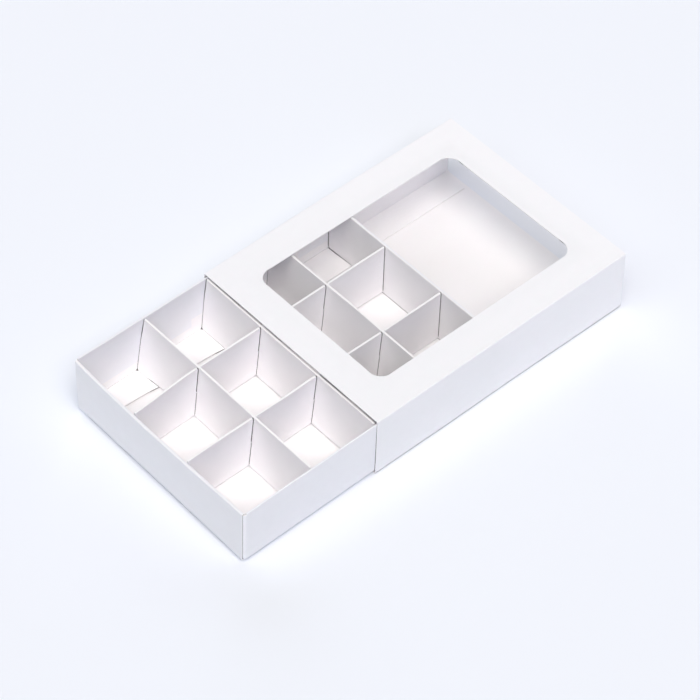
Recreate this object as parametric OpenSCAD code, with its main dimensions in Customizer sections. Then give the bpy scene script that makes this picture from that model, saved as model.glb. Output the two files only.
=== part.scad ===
// Windowed drawer box of folded white paperboard: an open-ended sleeve with a film
// window, a double-walled drawer tray, and a grid of slotted dividers in the tray.
// Millimetres. +X runs across the box, +Y from the drawer's front towards the
// sleeve's rear mouth, and +Z up. The origin is the centre of the face that the
// sleeve rests on.

/* [Sleeve] */
// Outer width across the mouth
sleeve_w = 150; // [140:1:180]
// Outer length from mouth to mouth
sleeve_l = 198; // [198:1:240]
// Outer height
sleeve_h = 46; // [46:1:60]
// Width of the flap that is glued inside, along the left bottom edge
glue_flap_w = 18; // [12:1:25]

/* [Window] */
// Width of the window across the box
window_w = 106; // [60:1:110]
// Length of the window along the box
window_l = 154.5; // [80:0.5:158]
// Radius of the window's corners
window_r = 8; // [2:0.5:20]
// How far the film reaches past the window on every side
film_lap = 8; // [7:1:10]
// Width of the line of adhesive that holds the film
film_glue_w = 5; // [3:0.5:6]

/* [Board] */
// Thickness of the sleeve's and the tray's board
board_t = 0.5; // [0.35:0.05:0.55]
// Thickness of the dividers' board
divider_t = 1.3; // [0.4:0.1:1.5]
// Thickness of the clear film
film_t = 0.15; // [0.1:0.01:0.2]
// Thickness of a layer of adhesive
glue_t = 0.1; // [0.05:0.01:0.15]
// Radius of the board's middle layer at a fold
fold_r = 0.35; // [0.3:0.01:0.35]

/* [Drawer] */
// Outer length of the tray
tray_l = 197; // [180:1:197]
// Outer height of the tray
tray_h = 41.4; // [30:0.1:42]
// How far the tray's front stands out of the sleeve
drawer_out = 98.8; // [0.5:0.1:100]
// Gap between the tray and the sleeve on each side
side_gap = 0.5; // [0.3:0.1:1]
// Gap between the tray's floor and the sleeve's glued flap
floor_gap = 1; // [0.3:0.1:1.2]
// Thickness of a folded end wall
end_wall_t = 2; // [1.8:0.1:2.5]
// Radius of the board's middle layer at the tray's upright corners
corner_fold_r = 1.75; // [1:0.05:2]
// How far each end wall's panels stop short of the tray's corners
corner_gap = 1.2; // [1.2:0.1:4]
// Width of the flap that each side wall lays on the floor
floor_flap_w = 20; // [10:1:25]
// Width of each corner flap inside the end walls
corner_flap_w = 32; // [20:1:40]
// Width of each tab that locks an end wall into the floor
lock_tab_w = 18; // [10:1:24]

/* [Dividers] */
// Distance of the dividers' top edges below the tray's rim
divider_drop = 0.6; // [0.5:0.1:3]
// Distances of the cross dividers from the inside of the front wall
cross_at = [47.5, 94.5, 145.5]; // [30:0.5:165]
// Width of the slots where two dividers cross
slot_w = 1.9; // [1.6:0.1:2.2]
// Gap between a divider's ends and the tray's walls
divider_end_gap = 0.6; // [0.1:0.1:1]

/* [Hidden] */

fold_steps = 4;      // straight pieces in the round of each fold
window_steps = 12;   // straight pieces in the round of each window corner
layer_gap = 0.1;     // air between two layers of board that lie on each other
overlap = 4;         // how far two panels of one blank run into each other
columns = 3;         // cells across the tray

// Sleeve
seam_inset = 0.3;    // raw edge of the bottom panel, in from the left side
flap_z = 1.5 * board_t + glue_t;
flap_top = flap_z + board_t / 2;

// Tray
tray_w = sleeve_w - 2 * board_t - 2 * side_gap;
tray_z = flap_top + floor_gap;
tray_top = tray_z + tray_h;
tray_front = -sleeve_l / 2 - drawer_out;
tray_middle = tray_front + tray_l / 2;
floor_top = tray_z + board_t;
side_wall_t = board_t + 2 * fold_r;
corner_y = board_t + layer_gap;                // corner flap, behind the end's outer panel
side_end_y = corner_y + board_t / 2 + corner_fold_r;  // where a side wall's corner fold starts
end_panel_w = tray_w - 2 * corner_gap;
tab_x = tray_w / 4;

// Dividers
divider_z = floor_top + layer_gap + board_t;
divider_h = tray_top - divider_drop - divider_z;
inner_front = tray_front + end_wall_t;
inner_w = tray_w - 2 * side_wall_t;
column_pitch = inner_w / columns;

// Unit vector from one point to the next
function along(a, b) = (b - a) / norm(b - a);

// Unit vector to the left of a direction
function left_of(d) = [-d[1], d[0]];

function turned(v, a) = [v[0] * cos(a) - v[1] * sin(a), v[0] * sin(a) + v[1] * cos(a)];

// Round of one fold of radius r, at a distance to the left of the board's middle layer
function fold_round(before, at, after, r, side) =
    let (d = along(before, at),
         e = along(at, after),
         turn = sign(cross(d, e)),
         angle = acos(d * e),
         centre = at - d * r * tan(angle / 2) + left_of(d) * turn * r,
         spoke = -left_of(d) * turn * (r - turn * side))
    [for (i = [0 : fold_steps]) centre + turned(spoke, turn * angle * i / fold_steps)];

// One face of a folded board
function board_face(path, r, side) =
    let (last = len(path) - 1)
    concat([path[0] + left_of(along(path[0], path[1])) * side],
           [for (i = [1 : last - 1]) each fold_round(path[i - 1], path[i], path[i + 1], r, side)],
           [path[last] + left_of(along(path[last - 1], path[last])) * side]);

function reversed(list) = [for (i = [len(list) - 1 : -1 : 0]) list[i]];

// Outline of a board that is folded along a path through its middle layer
function board_outline(path, r = fold_r) =
    concat(board_face(path, r, board_t / 2), reversed(board_face(path, r, -board_t / 2)));

// Outline of a rectangle with round corners
function rounded_rectangle(w, l, r) =
    [for (corner = [0 : 3]) each
        let (sx = (corner == 0 || corner == 3) ? 1 : -1,
             sy = corner < 2 ? 1 : -1)
        [for (i = [0 : window_steps])
            let (a = 90 * (corner + i / window_steps))
            [sx * (w / 2 - r) + r * cos(a), sy * (l / 2 - r) + r * sin(a)]]];

// A section drawn in X and Z, drawn out along Y
module along_y(y_low, y_high, outline) {
    translate([0, y_high, 0])
        rotate([90, 0, 0])
            linear_extrude(y_high - y_low)
                polygon(outline);
}

// A section drawn in Y and Z, drawn out along X
module along_x(x_low, x_high, outline) {
    translate([x_low, 0, 0])
        rotate([90, 0, 90])
            linear_extrude(x_high - x_low)
                polygon(outline);
}

module box(low, high) {
    translate(low)
        cube(high - low);
}

// The children, and their mirror image at the tray's other end
module at_both_ends() {
    children();
    translate([0, 2 * tray_middle, 0])
        mirror([0, 1, 0])
            children();
}

module at_both_sides() {
    children();
    mirror([1, 0, 0])
        children();
}

// One blank: bottom, right side, top with the window, left side and glued flap
module sleeve() {
    x = sleeve_w / 2 - board_t / 2;
    z = sleeve_h - board_t / 2;
    wrap = [[-sleeve_w / 2 + seam_inset, board_t / 2], [x, board_t / 2], [x, z], [-x, z],
            [-x, flap_z], [-x + glue_flap_w, flap_z]];
    color("white")
        difference() {
            along_y(-sleeve_l / 2, sleeve_l / 2, board_outline(wrap));
            translate([0, 0, sleeve_h / 2])
                linear_extrude(sleeve_h)
                    polygon(rounded_rectangle(window_w, window_l, window_r));
        }
}

// Adhesive between the flap and the bottom panel
module sleeve_seam_glue() {
    x = -sleeve_w / 2 + board_t + fold_r;
    color("ivory")
        box([x, -sleeve_l / 2 + 3, board_t],
            [x + glue_flap_w - 2, sleeve_l / 2 - 3, board_t + glue_t]);
}

// Clear sheet under the window
module window_film() {
    color([0.9, 0.95, 1, 0.3])
        translate([0, 0, sleeve_h - board_t - glue_t - film_t])
            linear_extrude(film_t)
                square([window_w + 2 * film_lap, window_l + 2 * film_lap], center = true);
}

// Frame of adhesive between the film and the top panel
module window_film_glue() {
    outer = film_lap - 1;
    inner = outer - film_glue_w;
    color("ivory")
        translate([0, 0, sleeve_h - board_t - glue_t])
            linear_extrude(glue_t)
                difference() {
                    square([window_w + 2 * outer, window_l + 2 * outer], center = true);
                    square([window_w + 2 * inner, window_l + 2 * inner], center = true);
                }
}

// Floor and both double side walls, with the flaps that lie on the floor
module tray_sides() {
    x = tray_w / 2 - board_t / 2;
    x_inner = x - 2 * fold_r;
    x_flap = x_inner - floor_flap_w;
    z = tray_z + board_t / 2;
    z_flap = floor_top + layer_gap + board_t / 2;
    z_rim = tray_top - board_t / 2;
    wrap = [[-x_flap, z_flap], [-x_inner, z_flap], [-x_inner, z_rim], [-x, z_rim], [-x, z],
            [x, z], [x, z_rim], [x_inner, z_rim], [x_inner, z_flap], [x_flap, z_flap]];
    along_y(tray_front + side_end_y, tray_front + tray_l - side_end_y, board_outline(wrap));
}

// Outer panel, rolled rim and inner panel of the front wall
module tray_end() {
    y = tray_front + board_t / 2;
    y_inner = tray_front + end_wall_t - board_t / 2;
    z = tray_z + board_t / 2;
    z_rim = tray_top - board_t / 2;
    wrap = [[tray_front + overlap, z], [y, z], [y, z_rim], [y_inner, z_rim],
            [y_inner, floor_top + layer_gap]];
    along_x(-end_panel_w / 2, end_panel_w / 2, board_outline(wrap));
}

// Flap that turns the corner from a side panel into the front wall
module corner_flap() {
    x = tray_w / 2 - board_t / 2;
    y = tray_front + corner_y + board_t / 2;
    turn = [[x, y + overlap], [x, y], [x - corner_flap_w, y]];
    z_low = floor_top + 1;
    translate([0, 0, z_low])
        linear_extrude(tray_top - 1 - z_low)
            polygon(board_outline(turn, corner_fold_r));
}

// Tab under the front wall's inner panel, flush with the floor's underside
module lock_tab() {
    y = tray_front + end_wall_t - board_t;
    box([tab_x - lock_tab_w / 2, y, tray_z],
        [tab_x + lock_tab_w / 2, y + board_t, floor_top + 2 * layer_gap]);
}

// Slot in the floor for a lock tab
module lock_slot() {
    y = tray_front + end_wall_t - board_t - layer_gap;
    box([tab_x - lock_tab_w / 2 - 1, y, tray_z - 1],
        [tab_x + lock_tab_w / 2 + 1, y + board_t + 2 * layer_gap, floor_top + layer_gap / 2]);
}

// One blank: floor, double walls all round, floor flaps and corner flaps
module tray() {
    color("white") {
        difference() {
            union() {
                tray_sides();
                at_both_ends() tray_end();
            }
            at_both_ends() at_both_sides() lock_slot();
        }
        at_both_ends() at_both_sides() {
            corner_flap();
            lock_tab();
        }
    }
}

// Board across the tray, slotted from below, so its top edge runs through
module cross_divider(row) {
    y = inner_front + cross_at[row];
    half = inner_w / 2 - divider_end_gap;
    slot_top = divider_z + divider_h / 2 + 0.3;
    color("white")
        difference() {
            box([-half, y - divider_t / 2, divider_z],
                [half, y + divider_t / 2, divider_z + divider_h]);
            for (side = [-1, 1]) {
                x = side * column_pitch / 2;
                box([x - slot_w / 2, y - divider_t, divider_z - 1],
                    [x + slot_w / 2, y + divider_t, slot_top]);
            }
        }
}

// Board along the tray, slotted from above
module long_divider(side) {
    x = side * column_pitch / 2;
    low = inner_front + divider_end_gap;
    high = tray_front + tray_l - end_wall_t - divider_end_gap;
    slot_bottom = divider_z + divider_h / 2 - 0.3;
    color("white")
        difference() {
            box([x - divider_t / 2, low, divider_z],
                [x + divider_t / 2, high, divider_z + divider_h]);
            for (distance = cross_at) {
                y = inner_front + distance;
                box([x - divider_t, y - slot_w / 2, slot_bottom],
                    [x + divider_t, y + slot_w / 2, divider_z + divider_h + 1]);
            }
        }
}

sleeve();
sleeve_seam_glue();
window_film();
window_film_glue();
tray();
cross_divider(0);  // front_cross_divider
cross_divider(1);  // middle_cross_divider
cross_divider(2);  // rear_cross_divider
long_divider(-1);  // left_long_divider
long_divider(1);  // right_long_divider
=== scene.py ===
"""Looks of a windowed drawer box of folded white paperboard.

Every board is built as its flat blank's middle layer, folded along true rounds, then
thickened. Lengths are in millimetres until a mesh is made, and Blender gets metres.
"""

import math

import bpy
import numpy as np
from mathutils import Matrix, Vector


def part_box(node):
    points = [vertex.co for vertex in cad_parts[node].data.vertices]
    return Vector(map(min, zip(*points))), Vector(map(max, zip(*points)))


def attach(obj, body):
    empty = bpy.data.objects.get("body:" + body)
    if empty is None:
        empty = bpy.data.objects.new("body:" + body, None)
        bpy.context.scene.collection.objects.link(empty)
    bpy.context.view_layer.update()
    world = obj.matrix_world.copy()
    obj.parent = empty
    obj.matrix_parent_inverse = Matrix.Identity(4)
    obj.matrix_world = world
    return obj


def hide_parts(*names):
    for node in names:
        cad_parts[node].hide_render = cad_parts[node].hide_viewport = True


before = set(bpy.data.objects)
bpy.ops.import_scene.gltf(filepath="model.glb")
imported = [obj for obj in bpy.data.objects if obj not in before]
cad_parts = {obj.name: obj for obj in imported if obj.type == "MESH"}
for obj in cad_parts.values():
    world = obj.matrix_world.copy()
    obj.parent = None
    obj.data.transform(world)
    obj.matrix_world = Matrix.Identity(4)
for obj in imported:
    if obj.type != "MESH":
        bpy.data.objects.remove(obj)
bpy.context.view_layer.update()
SCENE = bpy.context.scene


# ------------------------------------------------------------------ sizes, in mm
def box_mm(node):
    """Lowest and highest corner of a CAD node."""
    low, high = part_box(node)
    return low * 1000, high * 1000


SLEEVE_LOW, SLEEVE_HIGH = box_mm("sleeve")
TRAY_LOW, TRAY_HIGH = box_mm("tray")
FILM_LOW, FILM_HIGH = box_mm("window_film")
GLUE_LOW, GLUE_HIGH = box_mm("window_film_glue")
SEAM_LOW, SEAM_HIGH = box_mm("sleeve_seam_glue")

BOARD = 0.5            # sleeve's and tray's board
FOLD = 0.35            # radius of the board's middle layer at a fold
LAYER_GAP = 0.1        # air between two layers of board
WINDOW_W = 106.0
WINDOW_L = 154.5
WINDOW_R = 8.0
GLUE_FLAP = 18.0
FILM_GLUE_W = 5.0
END_WALL = 2.0         # folded end wall of the tray
CORNER_FOLD = 1.75     # middle layer's radius at the tray's upright corners
CORNER_GAP = 1.2       # end wall's panels stop this far from the corners
CORNER_FLAP = 32.0
FLOOR_FLAP = 20.0
LOCK_TAB = 18.0
SLOT_W = 1.9           # slots of the dividers
SOFT_FOLD = 1.2        # middle layer's radius at the tray's bottom folds
TINY = 1e-9            # lengths below this are nothing
NEAR = 1e-6            # two lengths this near are the same

HALF_W = SLEEVE_HIGH.x
TOP = SLEEVE_HIGH.z
MOUTH = SLEEVE_LOW.y
TRAY_HALF = TRAY_HIGH.x
TRAY_FRONT = TRAY_LOW.y
TRAY_BACK = TRAY_HIGH.y
FLOOR_Z = TRAY_LOW.z
FLOOR_TOP = FLOOR_Z + BOARD
RIM = TRAY_HIGH.z

CROSS = ("front_cross_divider", "middle_cross_divider", "rear_cross_divider")
LONG = ("left_long_divider", "right_long_divider")
CROSS_Y = [sum(c.y for c in box_mm(node)) / 2 for node in CROSS]
LONG_X = [sum(c.x for c in box_mm(node)) / 2 for node in LONG]
GRID_LOW, GRID_HIGH = box_mm(CROSS[0])


# ------------------------------------------------------------------ folded board
class FoldPath:
    """A folded line in a plane: straight runs joined by arcs, measured along u."""

    ROUND_STEPS = 6
    SUPPORT = 0.4      # a line this far from each fold keeps the flat panels flat

    def __init__(self, corners, radii):
        corners = [Vector(c) for c in corners]
        self.runs = []
        self.length = 0.0
        start = corners[0]
        for before, at, after, radius in zip(corners, corners[1:], corners[2:], radii):
            way = (at - before).normalized()
            onward = (after - at).normalized()
            turn = math.atan2(way.x * onward.y - way.y * onward.x, way.dot(onward))
            back = radius * math.tan(abs(turn) / 2)
            self._add((at - way * back - start).length, start, way, 0.0)
            self._add(radius * abs(turn), at - way * back, way, math.copysign(1 / radius, turn))
            start = at + onward * back
        self._add((corners[-1] - start).length, start, (corners[-1] - start).normalized(), 0.0)

    def _add(self, length, start, way, bend):
        self.runs.append((self.length, length, start, way, bend))
        self.length += length

    def at(self, u):
        """The point at u and the unit vector to the left of the path there."""
        run = self.runs[0]
        for candidate in self.runs:
            if u >= candidate[0] - TINY:
                run = candidate
        begin, _, start, way, bend = run
        left = Vector((-way.y, way.x))
        if not bend:
            return start + way * (u - begin), left
        angle = bend * (u - begin)
        turned = left * math.cos(angle) - way * math.sin(angle)
        return start + left / bend - turned / bend, turned

    def lines(self, step, extra=()):
        """Values of u for a grid: both ends of every fold, its round, and even steps."""
        found = list(extra)
        for begin, length, _, _, bend in self.runs:
            if bend:
                parts = self.ROUND_STEPS
            else:
                parts = max(1, round(length / step))
                if length > 4 * self.SUPPORT:
                    found += [begin + self.SUPPORT, begin + length - self.SUPPORT]
            found += [begin + length * i / parts for i in range(parts + 1)]
        return tidy_lines(found, extra)

    def straight(self, index):
        """Where straight run number index begins and ends."""
        begin, length = self.runs[2 * index][:2]
        return begin, begin + length


def tidy_lines(values, keep=(), apart=0.05):
    """Sorted values without near repeats; those in keep are never moved or lost."""
    result = []
    kept = set(round(k, 6) for k in keep)
    for value in sorted(values):
        if result and value - result[-1] < apart:
            if round(value, 6) in kept:
                result[-1] = value
            continue
        result.append(value)
    return result


def even_lines(low, high, step, extra=()):
    parts = max(1, round((high - low) / step))
    values = [low + (high - low) * i / parts for i in range(parts + 1)]
    return tidy_lines(values + list(extra), list(extra) + [low, high])


class Blank:
    """Middle layer of a board: points with normals, and faces that may share them."""

    def __init__(self):
        self.points, self.normals, self.faces, self.index = [], [], [], {}

    def vertex(self, point, normal):
        key = tuple(round(c * 1000) for c in point)
        if key not in self.index:
            self.index[key] = len(self.points)
            self.points.append(tuple(point))
            self.normals.append(tuple(normal))
        return self.index[key]

    def face(self, corners):
        """corners are (point, normal) pairs, anticlockwise about the normals."""
        ids = [self.vertex(*c) for c in corners]
        ids = [v for k, v in enumerate(ids) if v != ids[k - 1]]
        if len(ids) > 2:
            self.faces.append(ids)

    def grid(self, us, vs, place, keep=lambda u, v: True, flip=False):
        """Quads between the lines us and vs, where keep says so of a quad's centre."""
        for u0, u1 in zip(us, us[1:]):
            for v0, v1 in zip(vs, vs[1:]):
                if keep((u0 + u1) / 2, (v0 + v1) / 2):
                    loop = [(u0, v0), (u1, v0), (u1, v1), (u0, v1)]
                    self.face([place(u, v) for u, v in (reversed(loop) if flip else loop)])


RIM_SIDES = (1.0, 0.62, 0.0, -0.62, -1.0)      # lines across a cut edge, face to face
RIM_BULGES = (0.0, 0.75, 1.0, 0.75, 0.0)       # how far each of those lines stands out
BOARD_BULGE = 0.06     # cut edges are a little crushed, and stand out by this much
DIVIDER_BULGE = 0.12
FILM_BULGE = 0.02
GLUE_BULGE = 0.05
SHARP_ANGLE = math.radians(40)
FRONT_FACE, BACK_FACE, CUT_EDGE = 0, 1, 2      # material slots; front is the normals' side


def border_edges(faces):
    """Edges that belong to one face only, the way round that face has them."""
    used = dict.fromkeys((a, b) for f in faces for a, b in zip(f, f[1:] + f[:1]))
    return [(a, b) for a, b in used if (b, a) not in used]


def outwards(points, normals, border):
    """At each border point, the unit vector in the board's plane that leads off it."""
    out = np.zeros_like(points)
    for a, b in border:
        way = np.cross(points[b] - points[a], normals[a] + normals[b])
        way /= np.linalg.norm(way)
        out[a] += way
        out[b] += way
    length = np.linalg.norm(out, axis=1, keepdims=True)
    return np.divide(out, length, out=np.zeros_like(out), where=length > TINY)


def edge_levels(blank, border, thickness, bulge):
    """All points, level by level: one face's, the cut edges' lines and the other face's.
    Also, for each level, the numbers there of the blank's points that it takes in."""
    points = np.array(blank.points)
    normals = np.array(blank.normals)
    out = outwards(points, normals, border)
    rim_points = np.array(sorted({v for edge in border for v in edge}))
    levels = []
    coordinates = []
    for side, push in zip(RIM_SIDES, RIM_BULGES):
        ids = rim_points if push else np.arange(len(points))
        level = points + normals * side * thickness / 2 + out * (push * bulge)
        levels.append({int(v): len(coordinates) + k for k, v in enumerate(ids)})
        coordinates += level[ids].tolist()
    return np.array(coordinates), levels


def board_mesh(name, coordinates, faces, slots):
    mesh = bpy.data.meshes.new(name)
    mesh.from_pydata((coordinates / 1000).tolist(), [], faces)
    mesh.polygons.foreach_set("material_index", slots)
    mesh.polygons.foreach_set("use_smooth", [True] * len(faces))
    mesh.set_sharp_from_angle(angle=SHARP_ANGLE)
    mesh.update()
    return mesh


def thicken(name, blank, thickness, field, bulge=BOARD_BULGE):
    """A closed board around the blank. field bends the finished points."""
    border = border_edges(blank.faces)
    coordinates, levels = edge_levels(blank, border, thickness, bulge)
    faces = [[levels[0][v] for v in f] for f in blank.faces]
    slots = [FRONT_FACE] * len(faces)
    faces += [[levels[-1][v] for v in reversed(f)] for f in blank.faces]
    slots += [BACK_FACE] * len(blank.faces)
    for upper, lower in zip(levels, levels[1:]):
        faces += [[upper[b], upper[a], lower[a], lower[b]] for a, b in border]
        slots += [CUT_EDGE] * len(border)
    piece = bpy.data.objects.new(name, board_mesh(name, field(coordinates), faces, slots))
    SCENE.collection.objects.link(piece)
    return piece


def finish_piece(piece, body, node, slot, *materials):
    for material in materials:
        piece.data.materials.append(material)
    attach(piece, body)
    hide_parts(node)


# ------------------------------------------------------------------ bends of the real boards
def ramp(value, low, high):
    """0 below low, 1 above high, smooth between."""
    t = np.clip((value - low) / (high - low), 0, 1)
    return t * t * (3 - 2 * t)


def bump_curve(value, low, high):
    """0 outside low to high, and a smooth hill of height 1 between."""
    t = np.clip((value - low) / (high - low), 0, 1)
    return np.sin(np.pi * t) ** 2


def ripple(a, b, wavelength, seed):
    """Gentle waves over two coordinates, from -1 to 1, the same on every run."""
    turn = 2 * np.pi / wavelength
    return (np.sin(turn * (a + 0.31 * b) + seed)
            + np.sin(turn * (0.83 * b - 0.47 * a) + 2.1 * seed)
            + np.sin(turn * 0.57 * (a + b) + 3.7 * seed)) / 3


MOUTH_FADE = 22        # the front mouth's bends die out over this length
RIGHT_BELLY = 0.12     # right panel's belly at the front mouth
RIGHT_REAR = 0.9       # right panel's foot outwards at the rear mouth
RIGHT_REAR_LESS = 0.6  # its top goes out by this much less
RIGHT_FOOT = 0.5       # right bottom fold outwards behind the front mouth
RIGHT_LIFT = 0.2       # right bottom fold off the table
LEFT_BELLY = 0.3       # left panel's belly at the front mouth
LEFT_OUT = 0.4         # left panel outwards at both mouths
LEFT_OUT_MORE = 0.6    # and this much more halfway between them
TOP_WAVES = 0.10


def bend_sleeve(p):
    """Side panels that lean and belly outwards, a right bottom fold a little off the
    table, and a top with faint waves."""
    p = p.copy()
    x, y, z = p[:, 0].copy(), p[:, 1].copy(), p[:, 2].copy()
    near_front = np.exp(-(y - MOUTH) / MOUTH_FADE)
    near_rear = ramp(y, 0, SLEEVE_HIGH.y)
    at_right = ramp(x, HALF_W - 4, HALF_W - 1)
    at_left = 1 - ramp(x, -HALF_W + 1, -HALF_W + 4)
    belly = ramp(z, 2, 20) * (1 - ramp(z, 34, TOP))
    low = 1 - ramp(z, 0, 12)
    p[:, 0] += at_right * near_front * RIGHT_BELLY * belly
    p[:, 0] += at_right * near_rear * (RIGHT_REAR - RIGHT_REAR_LESS * z / TOP)
    p[:, 0] += at_right * low * RIGHT_FOOT * ramp(y, MOUTH, MOUTH + 60)
    p[:, 0] -= at_left * near_front * LEFT_BELLY * bump_curve(z, 0, TOP)
    p[:, 0] -= at_left * (LEFT_OUT + LEFT_OUT_MORE * bump_curve(y, MOUTH, SLEEVE_HIGH.y))
    p[:, 2] += RIGHT_LIFT * ramp(x, HALF_W - 22, HALF_W) * low
    on_top = ramp(z, TOP - 3, TOP - 1)
    inside = bump_curve(x, -HALF_W, HALF_W)
    p[:, 2] += on_top * inside * TOP_WAVES * ripple(x, y, 120, 1.0)
    return p


# ------------------------------------------------------------------ sleeve
SLEEVE_FOLDS = [1.6, 0.7, 0.5, FOLD]     # middle layer's radii, from the bottom right fold on
OPEN_SEAM = 0.3        # bottom panel stops this far from the left panel's outer face
FLAP_TAPER = 0.03      # the glued flap is shorter by this share at its free edge
WINDOW_STEPS = 8       # lines across a window corner's round


def sleeve_path():
    """Round the tube: bottom, right, top and left panels, then the glued flap inside."""
    x = HALF_W - BOARD / 2
    z = TOP - BOARD / 2
    flap_z = 1.5 * BOARD + (SEAM_HIGH.z - SEAM_LOW.z)
    corners = [(-HALF_W + OPEN_SEAM, BOARD / 2), (x, BOARD / 2), (x, z), (-x, z), (-x, flap_z),
               (-x + GLUE_FLAP, flap_z)]
    return FoldPath(corners, SLEEVE_FOLDS)


def window_offsets():
    return [WINDOW_R * i / WINDOW_STEPS for i in range(WINDOW_STEPS + 1)]


def window_corner(half_w, half_l):
    """Matching points along a window corner's square outline and along its round."""
    square = [(half_w, half_l - o) for o in reversed(window_offsets())]
    square += [(half_w - o, half_l) for o in window_offsets()[1:]]
    steps = len(square) - 1
    arc = []
    for i in range(steps + 1):
        a = math.pi / 2 * i / steps
        arc.append((half_w - WINDOW_R * (1 - math.cos(a)), half_l - WINDOW_R * (1 - math.sin(a))))
    return square, arc


def make_sleeve():
    path = sleeve_path()
    top_begin, top_end = path.straight(2)
    middle = (top_begin + top_end) / 2
    flap_begin = path.straight(4)[0]
    half_w, half_l = WINDOW_W / 2, WINDOW_L / 2
    window_u = [middle + s * (half_w - o) for s in (-1, 1) for o in window_offsets()]
    window_v = [s * (half_l - o) for s in (-1, 1) for o in window_offsets()]

    def place(u, v):
        p, n = path.at(u)
        if u > flap_begin:
            v *= 1 - FLAP_TAPER * (u - flap_begin) / GLUE_FLAP
        return (p.x, v, p.y), (n.x, 0, n.y)

    def keep(u, v):
        return not (abs(u - middle) < half_w and abs(v) < half_l)

    blank = Blank()
    blank.grid(path.lines(9, window_u), even_lines(MOUTH, SLEEVE_HIGH.y, 8, window_v),
               place, keep, flip=True)
    square, arc = window_corner(half_w, half_l)
    for su in (-1, 1):
        for sv in (-1, 1):
            for i in range(len(arc) - 1):
                loop = [square[i], square[i + 1], arc[i + 1], arc[i]]
                loop = [place(middle + su * u, sv * v) for u, v in loop]
                blank.face(loop if su * sv > 0 else loop[::-1])
    return thicken("sleeve_board", blank, BOARD, bend_sleeve)


FILM_GLUE_WANDER = 0.35    # how far the glue lines' edges wander
SEAM_GLUE_WANDER = 0.4


def make_film():
    blank = Blank()
    z = (FILM_LOW.z + FILM_HIGH.z) / 2
    blank.grid(even_lines(FILM_LOW.x, FILM_HIGH.x, 10), even_lines(FILM_LOW.y, FILM_HIGH.y, 10),
               lambda u, v: ((u, v, z), (0, 0, 1)))
    return thicken("window_film_sheet", blank, FILM_HIGH.z - FILM_LOW.z, bend_sleeve, FILM_BULGE)


def make_film_glue():
    blank = Blank()
    z = (GLUE_LOW.z + GLUE_HIGH.z) / 2
    inner_x = GLUE_HIGH.x - FILM_GLUE_W
    inner_y = GLUE_HIGH.y - FILM_GLUE_W
    us = even_lines(GLUE_LOW.x, GLUE_HIGH.x, 3, (-inner_x, inner_x))
    vs = even_lines(GLUE_LOW.y, GLUE_HIGH.y, 3, (-inner_y, inner_y))
    blank.grid(us, vs, lambda u, v: ((u, v, z), (0, 0, 1)),
               lambda u, v: abs(u) > inner_x or abs(v) > inner_y)

    def spread(p):
        p = p.copy()
        wander = FILM_GLUE_WANDER * ripple(p[:, 0], p[:, 1], 11, 0.4)
        p[:, 0] += wander * np.sign(p[:, 0])
        p[:, 1] += wander * np.sign(p[:, 1])
        return bend_sleeve(p)

    return thicken("window_glue_line", blank, GLUE_HIGH.z - GLUE_LOW.z, spread, GLUE_BULGE)


def make_seam_glue():
    blank = Blank()
    z = (SEAM_LOW.z + SEAM_HIGH.z) / 2
    blank.grid(even_lines(SEAM_LOW.x, SEAM_HIGH.x, 2.5), even_lines(SEAM_LOW.y, SEAM_HIGH.y, 3),
               lambda u, v: ((u, v, z), (0, 0, 1)))

    def spread(p):
        p = p.copy()
        at_edge = ramp(p[:, 0], SEAM_LOW.x, SEAM_HIGH.x)
        p[:, 0] += SEAM_GLUE_WANDER * ripple(p[:, 1], p[:, 0], 13, 1.7) * at_edge
        return p

    return thicken("seam_glue_line", blank, SEAM_HIGH.z - SEAM_LOW.z, spread, GLUE_BULGE)


# ------------------------------------------------------------------ tray
SPLAY = 0.4            # side walls press outwards at the rim by this much
RIM_FORWARD = 0.8      # front wall's rim bows forward at its middle by this much
RIM_CORNERS = 0.5      # its corners stand back by this much
RIM_TWIST = 0.4        # the left corner back by this much more, the right by less
FOOT_BACK = 0.5        # front wall's foot stands back, doubled at the left, none at the right
SIDE_WAVES = 0.15
RIM_WAVES = 0.15
FLAP_LOW = 0.05        # floor flaps are the points from this to
FLAP_HIGH = 0.8        # this far above the floor
FLAP_SKEW = 0.05       # left flap's free edge moves by this much for each mm along it
FLAP_TURN = 72         # how far behind the front it is where it should be
FLAP_SKEW_RANGE = (-2.5, 1.5)
FLAP_PRESSED = 0.3     # floor flaps spring up this far under the cross dividers
FLAP_SPRING = 0.9      # and this much further between them

WALL_X = TRAY_HALF - BOARD / 2             # middle layers of the outer side walls,
BASE_Z = FLOOR_Z + BOARD / 2               # of the floor
RIM_Z = RIM - BOARD / 2                    # and of the folds along the rim
JOINT = 4.0            # where the end walls' share of the floor begins
PANEL_HALF = TRAY_HALF - CORNER_GAP        # half an end wall's width
TAB_X = TRAY_HALF / 2                      # middles of the lock tabs
TAB_PLAY = 1.0         # slots in the floor are this much longer than their tabs, each side
CORNER_END = BOARD * 1.5 + LAYER_GAP + CORNER_FOLD
CORNER_FLAP_LOW = FLOOR_TOP + 1
CORNER_FLAP_HIGH = RIM - 1
ENDS = ((TRAY_FRONT, 1), (TRAY_BACK, -1))  # each end, and the way from it into the tray


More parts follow.
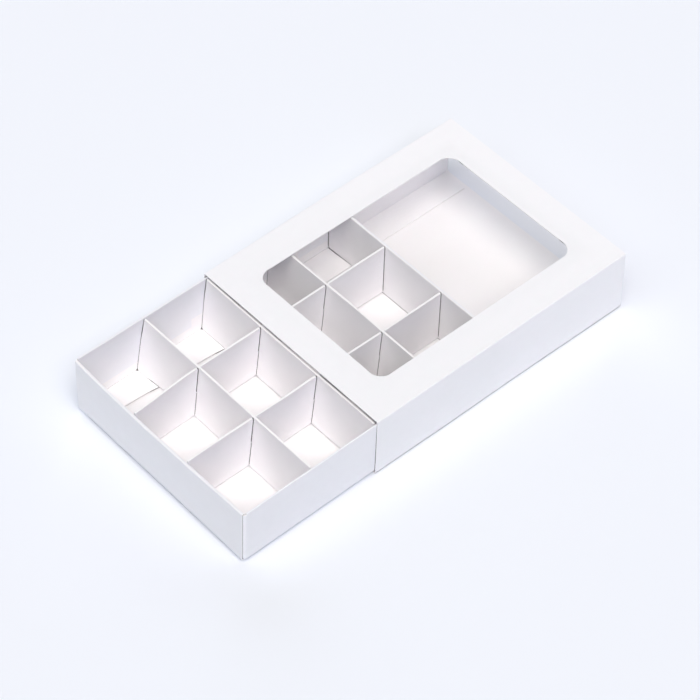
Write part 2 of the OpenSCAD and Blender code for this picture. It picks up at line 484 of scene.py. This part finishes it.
def bend_tray(p):
    """Side walls pressed outwards at their rims, a front that bows forward at its rim,
    and floor flaps that spring up along their free edge."""
    p = p.copy()
    x, y, z = p[:, 0].copy(), p[:, 1].copy(), p[:, 2].copy()
    height = np.clip((z - FLOOR_Z) / (RIM - FLOOR_Z), 0, 1)
    at_left = 1 - ramp(x, -TRAY_HALF + 2, -TRAY_HALF + 4)
    at_right = ramp(x, TRAY_HALF - 4, TRAY_HALF - 2)
    p[:, 0] += (at_right - at_left) * SPLAY * height ** 0.5
    at_front = 1 - ramp(y, TRAY_FRONT + 3, TRAY_FRONT + 9)
    across = (x / TRAY_HALF) ** 2
    rim = -RIM_FORWARD * (1 - across) + (RIM_CORNERS - RIM_TWIST * x / TRAY_HALF) * across
    foot = FOOT_BACK - FOOT_BACK * x / TRAY_HALF
    p[:, 1] += at_front * (foot * (1 - height) + rim * height)
    at_side = np.sign(x) * np.maximum(at_left, at_right)
    free = bump_curve(y, TRAY_FRONT, TRAY_BACK) ** 0.5
    p[:, 0] += at_side * height * free * SIDE_WAVES * ripple(y, z, 70, 0.8)
    p[:, 2] += ramp(height, 0.5, 1) * RIM_WAVES * ripple(x, y, 26, 2.3)
    spring_flaps(p, x, y, z)
    return p


def spring_flaps(p, x, y, z):
    """Floor flaps: the left one's free edge out of line, and both up off the floor."""
    flap = (z > FLOOR_TOP + FLAP_LOW) & (z < FLOOR_TOP + FLAP_HIGH) & (np.abs(x) < TRAY_HALF - 3)
    inward = 1 - ramp(np.abs(x), TRAY_HALF - FLOOR_FLAP, TRAY_HALF - 3)
    skew = np.clip(FLAP_SKEW * (y - TRAY_FRONT - FLAP_TURN), *FLAP_SKEW_RANGE) * (x < 0)
    pressed = np.minimum.reduce([np.abs(y - row) for row in CROSS_Y])
    spring = FLAP_PRESSED + FLAP_SPRING * ramp(pressed, 1, 12)
    p[:, 0] += np.where(flap, inward * skew, 0)
    p[:, 2] += np.where(flap, inward * spring, 0)


def wrap_path():
    """Across the tray: floor flap, double side wall, floor, and the same mirrored."""
    x_inner = WALL_X - 2 * FOLD
    x_flap = x_inner - FLOOR_FLAP
    z_flap = FLOOR_TOP + LAYER_GAP + BOARD / 2
    corners = [(-x_flap, z_flap), (-x_inner, z_flap), (-x_inner, RIM_Z), (-WALL_X, RIM_Z),
               (-WALL_X, BASE_Z), (WALL_X, BASE_Z), (WALL_X, RIM_Z), (x_inner, RIM_Z),
               (x_inner, z_flap), (x_flap, z_flap)]
    return FoldPath(corners, [FOLD] * 3 + [SOFT_FOLD] * 2 + [FOLD] * 3)


def wrap_lines(wrap, floor_middle):
    """Lines across the wrap, with those that the end walls and corner flaps share."""
    tab_edges = [s * (TAB_X + k * (LOCK_TAB / 2 + w)) for s in (-1, 1) for k in (-1, 1)
                 for w in (0, TAB_PLAY)]
    left_begin = wrap.straight(3)[0]
    right_begin = wrap.straight(5)[0]
    heights = (CORNER_FLAP_LOW, CORNER_FLAP_HIGH)
    shared = [floor_middle + e for e in [-PANEL_HALF, PANEL_HALF] + tab_edges]
    shared += [left_begin + (RIM_Z - FOLD - h) for h in heights]
    shared += [right_begin + (h - BASE_Z - SOFT_FOLD) for h in heights]
    return wrap.lines(7, shared)


def add_end_walls(blank, floor_lines):
    """Both end walls: up, over the rim, down inside, and tabs through the floor's slots."""
    y_inner = END_WALL - BOARD / 2
    path = FoldPath([(JOINT, BASE_Z), (BOARD / 2, BASE_Z), (BOARD / 2, RIM_Z), (y_inner, RIM_Z),
                     (y_inner, FLOOR_Z)], [SOFT_FOLD, FOLD, FOLD])
    floor_in = path.straight(0)[0] + JOINT
    slot_front = floor_in - (END_WALL - BOARD - LAYER_GAP)
    slot_back = floor_in - (END_WALL + LAYER_GAP)
    tab_top = path.length - BOARD - LAYER_GAP

    def keep(u, v):
        offset = abs(abs(v) - TAB_X)
        if slot_back < u < slot_front:
            return offset > LOCK_TAB / 2 + TAB_PLAY
        if u > tab_top:
            return offset < LOCK_TAB / 2
        return True

    for start, way in ENDS:
        def place(u, v):
            p, n = path.at(u)
            return (v, start + way * p.x, p.y), (0, -way * n.x, -n.y)

        blank.grid(path.lines(7, [slot_front, slot_back, tab_top]), floor_lines, place, keep,
                   flip=(way < 0))


def add_corner_flaps(blank, heights):
    """From each end of each side wall, round the corner and along inside the end wall."""
    y_flap = BOARD * 1.5 + LAYER_GAP
    path = FoldPath([(WALL_X, CORNER_END), (WALL_X, y_flap), (WALL_X - CORNER_FLAP, y_flap)],
                    [CORNER_FOLD])
    for start, way in ENDS:
        for side in (-1, 1):
            def place(u, v):
                p, n = path.at(u)
                return (side * p.x, start + way * p.y, v), (-side * n.x, -way * n.y, 0)

            blank.grid(path.lines(8), heights, place, flip=(side * way > 0))


def make_tray():
    wrap = wrap_path()
    floor_middle = sum(wrap.straight(4)) / 2
    us = wrap_lines(wrap, floor_middle)
    vs = even_lines(TRAY_FRONT + CORNER_END, TRAY_BACK - CORNER_END, 6,
                    [TRAY_FRONT + JOINT, TRAY_BACK - JOINT])

    def place(u, v):
        p, n = wrap.at(u)
        return (p.x, v, p.y), (n.x, 0, n.y)

    def keep(u, v):
        near_end = v < TRAY_FRONT + JOINT or v > TRAY_BACK - JOINT
        return not (near_end and abs(u - floor_middle) < PANEL_HALF)

    blank = Blank()
    blank.grid(us, vs, place, keep, flip=True)
    add_end_walls(blank, [u - floor_middle for u in us
                          if -PANEL_HALF - NEAR < u - floor_middle < PANEL_HALF + NEAR])
    right_begin, right_end = wrap.straight(5)
    heights = [wrap.at(u)[0].y for u in us if right_begin < u < right_end]
    add_corner_flaps(blank, [h for h in heights
                             if CORNER_FLAP_LOW - NEAR < h < CORNER_FLAP_HIGH + NEAR])
    return thicken("tray_board", blank, BOARD, bend_tray)


def show_inner_board(tray):
    """Gives the tray's cell side the inner board's look."""
    for face in tray.data.polygons:
        x, y, z = face.center * 1000
        in_cells = abs(x) < TRAY_HALF - 1 and TRAY_FRONT + 1.5 < y < TRAY_BACK - 1.5
        if face.material_index == BACK_FACE and in_cells and z > FLOOR_TOP:
            face.material_index = FRONT_FACE


# ------------------------------------------------------------------ dividers
LEAN = 4.0             # dividers' tops this much nearer to the rear than their bottoms
REAR_LEAN_LESS = 0.6   # the rear row's tops this much less
FRONT_ROW_AHEAD = 0.8  # front cross divider's right half is this much nearer to the front
FIRST_FOOT_AHEAD = 2.4     # and its left end's foot this much
CELL_RIGHT = 1.8       # left long divider, before the front row, to the right by this much
CELL_TWIST = 1.6       # and by this much more from its foot to its top
END_GAP = 0.5          # cross dividers' left ends reach this far to touch the wall
SECOND_RISE = 0.5      # middle cross divider's top left is this much higher
LIFT = 1.0             # bottom edges off the floor between the floor flaps
SLACK = 0.25           # cross dividers sit towards the rear of the long dividers' slots
SLOT_PLAY = 0.3        # slots are this much deeper than half the dividers' height
TIP_R = 1.2            # rounded corners beside the slots' open ends
TIP_LINES = (0.15, 0.4, 0.8, 1.3)          # lines drawn this far from a slot's sides
FOOT_LINE = 0.5        # and this far above the bottom edge
HEAD_LINE = 1.4        # and this far below the top edge
BOW = 0.35             # dividers bow this far between two crossings
BOW_TURN = 2.4         # radians that the bow's sway changes by from one cell to the next


def first_row_fade(y):
    """1 at the front cross divider and before it, 0 from just ahead of the middle one."""
    return 1 - ramp(y, CROSS_Y[0] + 3, CROSS_Y[1] - 5)


def lean_rows(p, x, y, height):
    """Moves along the drawer: the rows' lean, and what the front row does besides."""
    ends = ramp(y, TRAY_FRONT, CROSS_Y[0] - 8) * (1 - ramp(y, CROSS_Y[2] + 8, TRAY_BACK))
    rear_row = ramp(y, CROSS_Y[1], CROSS_Y[2])
    p[:, 1] += ends * (LEAN * height - rear_row * REAR_LEAN_LESS * (height + 0.5))
    front_row = 1 - ramp(y, CROSS_Y[0] + 5, CROSS_Y[1] - 5)
    p[:, 1] -= ends * front_row * FRONT_ROW_AHEAD * ramp(x, -20, 60)
    to_left = 1 - ramp(x, -TRAY_HALF + 4, LONG_X[0])
    p[:, 1] -= ends * first_row_fade(y) * to_left * FIRST_FOOT_AHEAD * (0.5 - height)


def shift_left_side(p, x, y, height):
    """Moves across the drawer: the left long divider's front end, and the left ends of
    the cross dividers, which close on the left wall towards their feet."""
    before_row = 1 - ramp(y, TRAY_FRONT, CROSS_Y[0] - 2)
    at_left = ramp(x, -TRAY_HALF, LONG_X[0]) * (1 - ramp(x, LONG_X[0], 0))
    p[:, 0] += before_row * at_left * (CELL_RIGHT + CELL_TWIST * height)
    far_left = 1 - ramp(x, -TRAY_HALF + 1, -TRAY_HALF + 12)
    gap = END_GAP + SPLAY * np.clip(height + 0.5, 0, 1) ** 0.5
    p[:, 0] -= far_left * (x < LONG_X[0] - 9) * gap * (1 - ramp(height, 0.0, 0.45))


def raise_edges(p, x, y, height):
    """Moves up: the middle row's top left, and bottom edges that no floor flap carries."""
    second_row = bump_curve(y, CROSS_Y[1] - 6, CROSS_Y[1] + 6)
    p[:, 2] += second_row * (1 - ramp(x, -TRAY_HALF, -10)) * SECOND_RISE * (height + 0.5)
    between_flaps = ramp(x, LONG_X[0] - 28, LONG_X[0])
    beside_wall = first_row_fade(y) * ramp(x, -TRAY_HALF + 8, -TRAY_HALF + 14)
    raised = np.maximum(between_flaps, beside_wall)
    p[:, 2] += LIFT * raised * (1 - ramp(height, -0.5, -0.3))


def bend_grid(p):
    """The whole insert leans: tops towards the rear mouth, bottoms towards the front."""
    p = p.copy()
    x, y, z = p[:, 0].copy(), p[:, 1].copy(), p[:, 2].copy()
    height = (z - GRID_LOW.z) / (GRID_HIGH.z - GRID_LOW.z) - 0.5
    lean_rows(p, x, y, height)
    shift_left_side(p, x, y, height)
    raise_edges(p, x, y, height)
    return p


def bowed(crosswise, seed):
    """A divider's own bow between the crossings, on top of the insert's lean."""
    along, across = (0, 1) if crosswise else (1, 0)
    crossings = LONG_X if crosswise else CROSS_Y
    limits = (-TRAY_HALF, TRAY_HALF) if crosswise else (TRAY_FRONT, TRAY_BACK)
    stops = [limits[0]] + list(crossings) + [limits[1]]

    def field(p):
        p = p.copy()
        a, z = p[:, along].copy(), p[:, 2].copy()
        shape = np.zeros(len(p))
        for k, (low, high) in enumerate(zip(stops, stops[1:])):
            shape += math.cos(seed + BOW_TURN * k) * bump_curve(a, low, high)
        p[:, across] += BOW * shape * (0.6 + 0.4 * np.sin(z / 14 + seed))
        return bend_grid(p)
    return field


def make_divider(node, crosswise, seed):
    """crosswise dividers lie along X and are slotted from below, the others from above."""
    low, high = box_mm(node)
    middle_x, middle_y, middle_z = ((a + b) / 2 for a, b in zip(low, high))
    thickness = high.y - low.y if crosswise else high.x - low.x
    begin, end = (low.x, high.x) if crosswise else (low.y, high.y)
    crossings = LONG_X if crosswise else CROSS_Y
    slot_end = middle_z + SLOT_PLAY if crosswise else middle_z - SLOT_PLAY
    open_end = low.z if crosswise else high.z
    edges = [c + s * SLOT_W / 2 for c in crossings for s in (-1, 1)]
    tips = [e + s * d for e in edges for s in (-1, 1) for d in TIP_LINES]
    us = even_lines(begin, end, 4, edges)
    us = tidy_lines(us + [t for t in tips if begin < t < end], edges + [begin, end], 0.1)
    vs = even_lines(low.z, high.z, 4, [slot_end, low.z + FOOT_LINE, high.z - HEAD_LINE])

    def tip_drop(u):
        """Die-cut corners beside each slot's open end are a little rounded."""
        nearest = min(abs(u - e) for e in edges)
        return TIP_R - math.sqrt(TIP_R ** 2 - max(0, TIP_R - nearest) ** 2)

    def place(u, v):
        if abs(v - open_end) < NEAR:
            v += tip_drop(u) if crosswise else -tip_drop(u)
        if crosswise:
            return (u, middle_y + SLACK, v), (0, -1, 0)
        return (middle_x, u, v), (1, 0, 0)

    def keep(u, v):
        in_slot = any(abs(u - c) < SLOT_W / 2 for c in crossings)
        open_side = v < slot_end if crosswise else v > slot_end
        return not (in_slot and open_side)

    blank = Blank()
    blank.grid(us, vs, place, keep)
    return thicken(node + "_board", blank, thickness, bowed(crosswise, seed), DIVIDER_BULGE)


# ------------------------------------------------------------------ materials
MIX_FIRST, MIX_SECOND, MIX_RESULT = 6, 7, 2    # a Mix node's colour sockets
NOISE_LOW, NOISE_HIGH = 0.3, 0.7               # what a noise mostly keeps between


def new_material(name):
    material = bpy.data.materials.new(name)
    material.use_nodes = True
    tree = material.node_tree
    return material, tree, tree.nodes["Principled BSDF"]


def add(tree, kind, **settings):
    node = tree.nodes.new(kind)
    for key, value in settings.items():
        setattr(node, key, value)
    return node


def noise(tree, scale, detail=3.0, roughness=0.5, stretch=(1, 1, 1)):
    """A noise in object space; scale is in features per metre."""
    place = add(tree, "ShaderNodeTexCoord")
    mapping = add(tree, "ShaderNodeMapping")
    mapping.inputs["Scale"].default_value = stretch
    tree.links.new(place.outputs["Object"], mapping.inputs["Vector"])
    texture = add(tree, "ShaderNodeTexNoise")
    texture.inputs["Scale"].default_value = scale
    texture.inputs["Detail"].default_value = detail
    texture.inputs["Roughness"].default_value = roughness
    tree.links.new(mapping.outputs["Vector"], texture.inputs["Vector"])
    return texture.outputs["Fac"]


def between(tree, factor, low, high):
    """Maps a noise's usual range onto low to high."""
    node = add(tree, "ShaderNodeMapRange")
    node.inputs["From Min"].default_value = NOISE_LOW
    node.inputs["From Max"].default_value = NOISE_HIGH
    node.inputs["To Min"].default_value = low
    node.inputs["To Max"].default_value = high
    tree.links.new(factor, node.inputs["Value"])
    return node.outputs["Result"]


def mix_colours(tree, factor, low, high):
    node = add(tree, "ShaderNodeMix", data_type="RGBA")
    node.inputs[MIX_FIRST].default_value = (*low, 1)
    node.inputs[MIX_SECOND].default_value = (*high, 1)
    tree.links.new(factor, node.inputs[0])
    return node.outputs[MIX_RESULT]


def bump(tree, height, distance, strength, normal=None):
    node = add(tree, "ShaderNodeBump")
    node.inputs["Distance"].default_value = distance
    node.inputs["Strength"].default_value = strength
    tree.links.new(height, node.inputs["Height"])
    if normal is not None:
        tree.links.new(normal, node.inputs["Normal"])
    return node.outputs["Normal"]


# Painted shade: ambient occlusion darkens the colour where surfaces close in, standing in for the
# shadows in narrow gaps.
GAP_REACH = 0.0015     # metres; surfaces nearer than this to each other count as a gap
GAP_OPEN = 0.64        # openness at which a gap starts to darken
GAP_SHUT = 0.48        # and at which it is darkest
GAP_SHADE_COLOUR = (0.02, 0.015, 0.015, 1)

CLOUDS = 160           # features per metre: the board's cloudy formation,
SHEEN = 420            # its uneven gloss,
FIBRES = 2600          # its fibres,
COCKLE = 90            # its slight cockling,
LAYERS = 1500          # and its layers at a cut edge
SHEEN_SPREAD = 0.06
FIBRE_HEIGHT = 0.00002     # metres, as are the two heights below
COCKLE_HEIGHT = 0.0004
LAYER_HEIGHT = 0.00005


def paint_gap_shade(tree, colour, depth):
    """Painted shade: darkens a colour in narrow gaps, between boards, in slots and under edges,
    where shadow falls.
    """
    shade = add(tree, "ShaderNodeAmbientOcclusion", samples=16)
    shade.inputs["Distance"].default_value = GAP_REACH
    narrow = add(tree, "ShaderNodeMapRange")
    narrow.inputs["From Min"].default_value = GAP_OPEN
    narrow.inputs["From Max"].default_value = GAP_SHUT
    narrow.inputs["To Max"].default_value = depth
    tree.links.new(shade.outputs["AO"], narrow.inputs["Value"])
    mix = add(tree, "ShaderNodeMix", data_type="RGBA", blend_type="MULTIPLY")
    mix.inputs[MIX_SECOND].default_value = GAP_SHADE_COLOUR
    tree.links.new(narrow.outputs["Result"], mix.inputs[0])
    tree.links.new(colour, mix.inputs[MIX_FIRST])
    return mix.outputs[MIX_RESULT]


def board_material(name, colour, shade, roughness, fibre, gaps=1.0, glow=0.0005):
    """Paperboard face: faint cloudy formation, fibre grain and a slightly uneven coat.
    gaps is how dark the painted shade in its narrow gaps gets, and glow how far light passes
    through it, in metres."""
    material, tree, shader = new_material(name)
    clouds = noise(tree, CLOUDS, 4, 0.6)
    cloudy = mix_colours(tree, between(tree, clouds, 0, 1), shade, colour)
    # painted shade darkens the cloudy colour in narrow gaps
    tree.links.new(paint_gap_shade(tree, cloudy, gaps), shader.inputs["Base Color"])
    gloss = between(tree, noise(tree, SHEEN, 3), roughness - SHEEN_SPREAD, roughness + SHEEN_SPREAD)
    tree.links.new(gloss, shader.inputs["Roughness"])
    grain = bump(tree, noise(tree, FIBRES, 2, 0.6, (1, 0.35, 1)), FIBRE_HEIGHT, fibre)
    cockle = bump(tree, noise(tree, COCKLE, 2), COCKLE_HEIGHT, 0.10, grain)
    tree.links.new(cockle, shader.inputs["Normal"])
    shader.inputs["Specular IOR Level"].default_value = 0.35
    shader.inputs["Subsurface Weight"].default_value = 0.5
    shader.inputs["Subsurface Radius"].default_value = (1.1, 1.0, 1.05)
    shader.inputs["Subsurface Scale"].default_value = glow
    return material


def edge_material(name, colour, shade):
    """Cut edge: the board's bare layers, soft and a little rough."""
    material, tree, shader = new_material(name)
    layers = noise(tree, LAYERS, 3, 0.6, (1, 1, 4))
    layered = mix_colours(tree, between(tree, layers, 0, 1), shade, colour)
    tree.links.new(layered, shader.inputs["Base Color"])
    shader.inputs["Roughness"].default_value = 0.9
    shader.inputs["Specular IOR Level"].default_value = 0.2
    tree.links.new(bump(tree, layers, LAYER_HEIGHT, 0.5), shader.inputs["Normal"])
    return material


def film_material():
    """Clear film: nearly invisible but for its gloss and slow waves."""
    material, tree, shader = new_material("clear_film")
    shader.inputs["Base Color"].default_value = (1.0, 0.98, 0.99, 1)
    shader.inputs["Alpha"].default_value = 0.05
    shader.inputs["Specular IOR Level"].default_value = 0.6
    tree.links.new(between(tree, noise(tree, 60, 3), 0.06, 0.14), shader.inputs["Roughness"])
    tree.links.new(bump(tree, noise(tree, 25, 1), 0.0006, 0.15), shader.inputs["Normal"])
    return material


def glue_material():
    material, tree, shader = new_material("dried_glue")
    mottle = noise(tree, 350, 4, 0.6)
    mottled = mix_colours(tree, between(tree, mottle, 0, 1), (0.80, 0.77, 0.70),
                          (0.90, 0.88, 0.82))
    tree.links.new(mottled, shader.inputs["Base Color"])
    shader.inputs["Roughness"].default_value = 0.45
    tree.links.new(bump(tree, mottle, 0.0001, 0.5), shader.inputs["Normal"])
    return material


# ------------------------------------------------------------------ camera, stage and light
CAMERA_AZIMUTH = math.radians(46.49)
CAMERA_ELEVATION = math.radians(48.77)
CAMERA_ROLL = math.radians(-1.914)
CAMERA_DISTANCE = 1771.4                   # mm, as is the point it aims at
CAMERA_AIM = Vector((-13.7, -38.1, -14.3))
CAMERA_LENS = 152.33
CAMERA_SENSOR = 36
SOFTBOX_ANGLE = math.radians(40)           # each softbox's width, seen from the box
TABLE_HALF = 6.0                           # metres


def direction(azimuth, elevation):
    """From the object towards a viewer; azimuth 0 is a viewer at -Y, 90 one at +X."""
    return Vector((math.sin(azimuth) * math.cos(elevation),
                   -math.cos(azimuth) * math.cos(elevation), math.sin(elevation)))


def make_camera():
    back = direction(CAMERA_AZIMUTH, CAMERA_ELEVATION)
    level = Vector((0, 0, 1)).cross(back).normalized()
    upright = back.cross(level)
    up = upright * math.cos(CAMERA_ROLL) + level * math.sin(CAMERA_ROLL)
    right = up.cross(back)
    data = bpy.data.cameras.new("camera")
    data.lens = CAMERA_LENS
    data.sensor_width = CAMERA_SENSOR
    data.clip_start = 0.05
    data.clip_end = 50
    camera = bpy.data.objects.new("camera", data)
    place = Matrix((right, up, back)).transposed().to_4x4()
    place.translation = (CAMERA_AIM + back * CAMERA_DISTANCE) / 1000
    camera.matrix_world = place
    SCENE.collection.objects.link(camera)
    SCENE.camera = camera


def soft_light(name, azimuth, elevation, power, colour):
    """A large softbox far away, so that it lights the table evenly."""
    data = bpy.data.lights.new(name, "SUN")
    data.angle = SOFTBOX_ANGLE
    data.energy = power
    data.color = colour
    light = bpy.data.objects.new(name, data)
    towards = direction(math.radians(azimuth), math.radians(elevation))
    light.location = towards
    light.rotation_euler = towards.to_track_quat("Z", "Y").to_euler()
    SCENE.collection.objects.link(light)


def make_table():
    half = TABLE_HALF
    mesh = bpy.data.meshes.new("table")
    mesh.from_pydata([(-half, -half, 0), (half, -half, 0), (half, half, 0), (-half, half, 0)],
                     [], [(0, 1, 2, 3)])
    table = bpy.data.objects.new("table", mesh)
    SCENE.collection.objects.link(table)
    material, _, shader = new_material("table_paper")
    shader.inputs["Base Color"].default_value = (0.89, 0.925, 0.985, 1)
    shader.inputs["Roughness"].default_value = 0.8
    shader.inputs["Specular IOR Level"].default_value = 0.1
    mesh.materials.append(material)


def make_studio():
    """Faint light from all round, and five softboxes: the key from the front right."""
    world = bpy.data.worlds.new("studio")
    world.use_nodes = True
    background = world.node_tree.nodes["Background"]
    background.inputs["Color"].default_value = (0.86, 0.91, 1.0, 1)
    background.inputs["Strength"].default_value = 0.10
    SCENE.world = world
    soft_light("key_softbox", azimuth=60, elevation=63, power=2.17, colour=(1.0, 0.945, 0.895))
    soft_light("low_softbox", azimuth=60, elevation=30, power=0.33, colour=(0.50, 0.60, 1.0))
    soft_light("front_softbox", azimuth=0, elevation=56, power=0.56, colour=(0.98, 1.0, 0.94))
    soft_light("rear_fill", azimuth=240, elevation=30, power=0.74, colour=(0.80, 0.83, 1.0))
    soft_light("left_fill", azimuth=180, elevation=30, power=0.24, colour=(0.95, 1.0, 0.95))


# ------------------------------------------------------------------ the box
SCENE.view_settings.view_transform = "Standard"
make_camera()
make_table()
make_studio()

COAT = board_material("coated_board", colour=(0.92, 0.925, 0.985), shade=(0.905, 0.91, 0.97),
                      roughness=0.55, fibre=0.12)
INSIDE = board_material("inner_board", colour=(0.985, 0.965, 0.99), shade=(0.975, 0.955, 0.98),
                        roughness=0.75, fibre=0.25)
# the sleeve's lining gets only a faint painted shade in its gaps
LINER = board_material("sleeve_lining", colour=(0.985, 0.96, 0.98), shade=(0.975, 0.95, 0.97),
                       roughness=0.75, fibre=0.25, gaps=0.2, glow=0.0004)
SLEEVE_COAT = board_material("sleeve_coat", colour=(0.945, 0.955, 0.995),
                             shade=(0.93, 0.94, 0.98), roughness=0.55, fibre=0.12, glow=0.0004)
EDGE = edge_material("cut_edge", colour=(0.98, 0.975, 0.985), shade=(0.93, 0.925, 0.935))
GLUE = glue_material()

finish_piece(make_sleeve(), "sleeve", "sleeve", "sleeve_board", LINER, SLEEVE_COAT, EDGE)
finish_piece(make_seam_glue(), "sleeve", "sleeve_seam_glue", "adhesive", GLUE)
finish_piece(make_film(), "sleeve", "window_film", "clear_film", film_material())
finish_piece(make_film_glue(), "sleeve", "window_film_glue", "adhesive", GLUE)
tray_board = make_tray()
show_inner_board(tray_board)
finish_piece(tray_board, "drawer", "tray", "tray_board", INSIDE, COAT, EDGE)
for number, name in enumerate(CROSS):
    finish_piece(make_divider(name, True, 0.9 + 1.3 * number), "drawer", name,
                 "divider_board", INSIDE, INSIDE, EDGE)
for number, name in enumerate(LONG):
    finish_piece(make_divider(name, False, 2.2 + 1.7 * number), "drawer", name,
                 "divider_board", INSIDE, INSIDE, EDGE)
